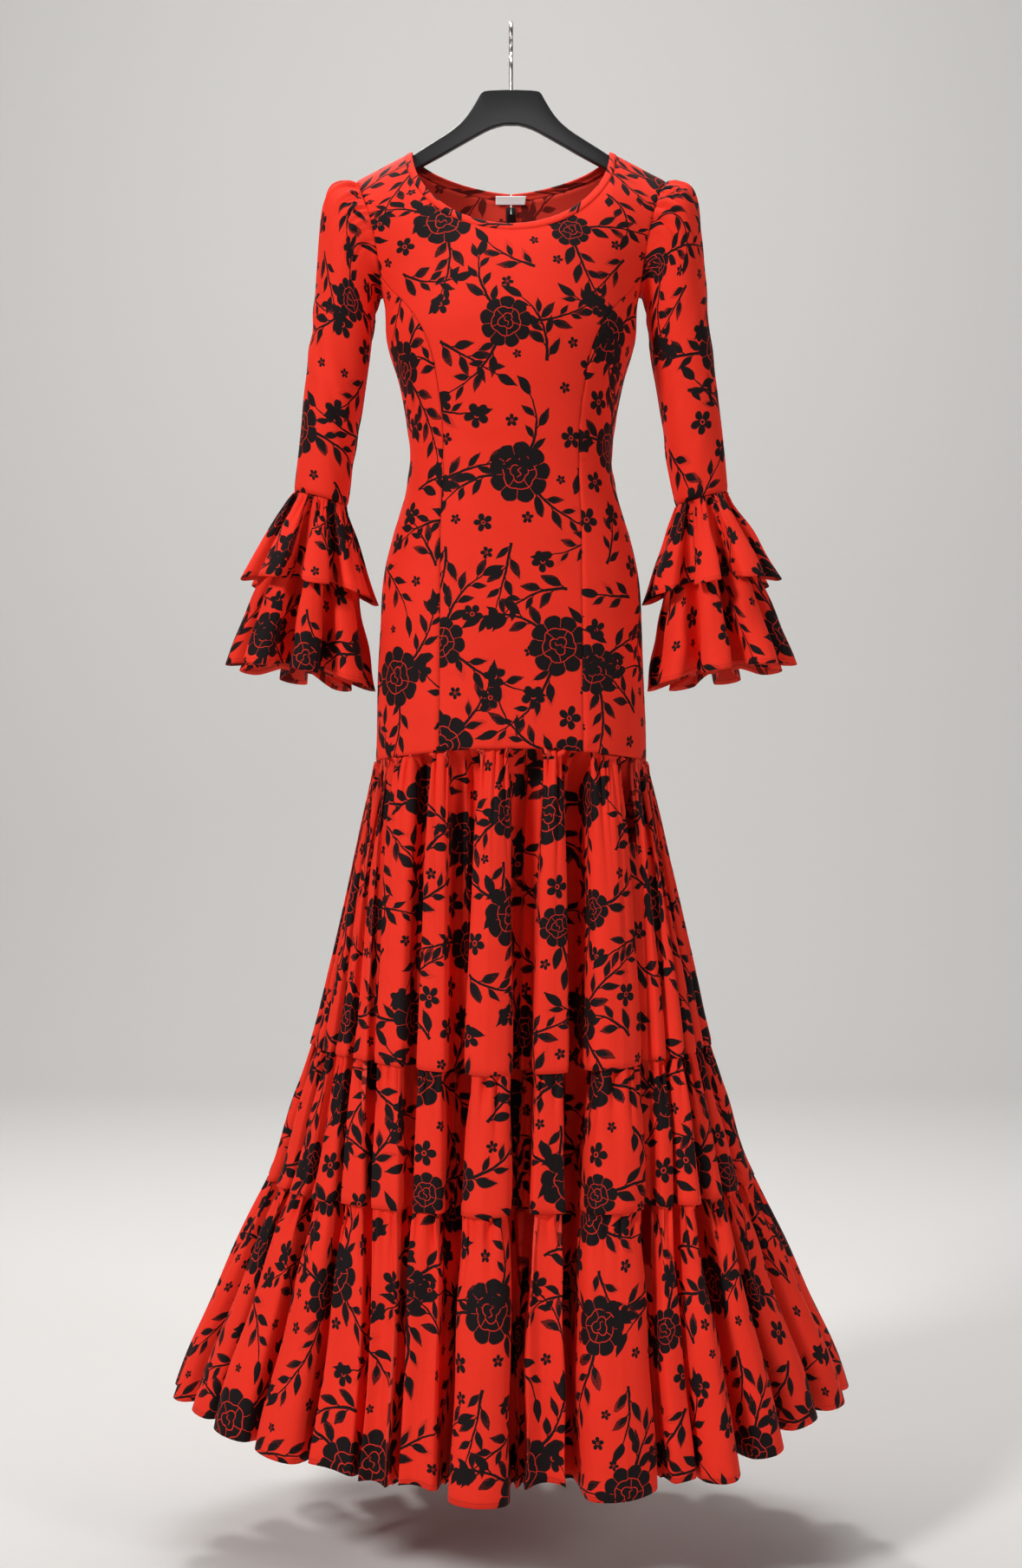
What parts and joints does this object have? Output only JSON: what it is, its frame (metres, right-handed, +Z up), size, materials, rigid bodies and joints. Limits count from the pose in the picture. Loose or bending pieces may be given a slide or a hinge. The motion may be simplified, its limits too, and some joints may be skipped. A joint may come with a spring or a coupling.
{
  "type": "flamenco dress on a clothes hanger",
  "caption": "Fitted floral flamenco dress with a tiered, gathered skirt and ruffled cuffs, filled out on a flat hanger that hangs by its hook.",
  "frame": {"origin": "the inside of the hook, at its top, where it bears on the rail", "axes": "+Z up the dress; -Y out of the front; +X towards the wearer's left"},
  "size_m": [0.7779, 0.5463, 1.6225],
  "materials": {
    "red_crepe": "matt red crepe with a black floral print",
    "white_label": "white satin label, bare",
    "zip_tape": "black woven tape",
    "zip_coil": "grey nylon coil",
    "zip_metal": "polished metal",
    "hanger_plastic": "satin black plastic",
    "hook_steel": "polished steel wire"
  },
  "bodies": {
    "dress": {"bodice_front_centre": "red_crepe", "bodice_front_side_left": "red_crepe", "bodice_front_side_right": "red_crepe", "bodice_back_left": "red_crepe", "bodice_back_right": "red_crepe", "neck_binding": "red_crepe", "sleeve_left": "red_crepe", "sleeve_right": "red_crepe", "cuff_ruffle_upper_left": "red_crepe", "cuff_ruffle_upper_right": "red_crepe", "cuff_ruffle_lower_left": "red_crepe", "cuff_ruffle_lower_right": "red_crepe", "skirt_tier_1_front": "red_crepe", "skirt_tier_1_back": "red_crepe", "skirt_tier_2_front": "red_crepe", "skirt_tier_2_back": "red_crepe", "skirt_tier_3_front": "red_crepe", "skirt_tier_3_back": "red_crepe", "label": "white_label", "zip_tape_left": "zip_tape", "zip_tape_right": "zip_tape", "zip_coil": "zip_coil", "zip_slider": "zip_metal", "hanger_body": "hanger_plastic", "hanger_hook": "hook_steel"},
    "pull": {"zip_pull": "zip_metal"}
  },
  "joints": [
    {"name": "zip_pull_swing", "type": "hinge", "parent": "dress", "child": "pull", "pos_m": [0, 0.06967, -0.20171], "axis": [1, 0, 0], "range_deg": [0, 150]}
  ]
}
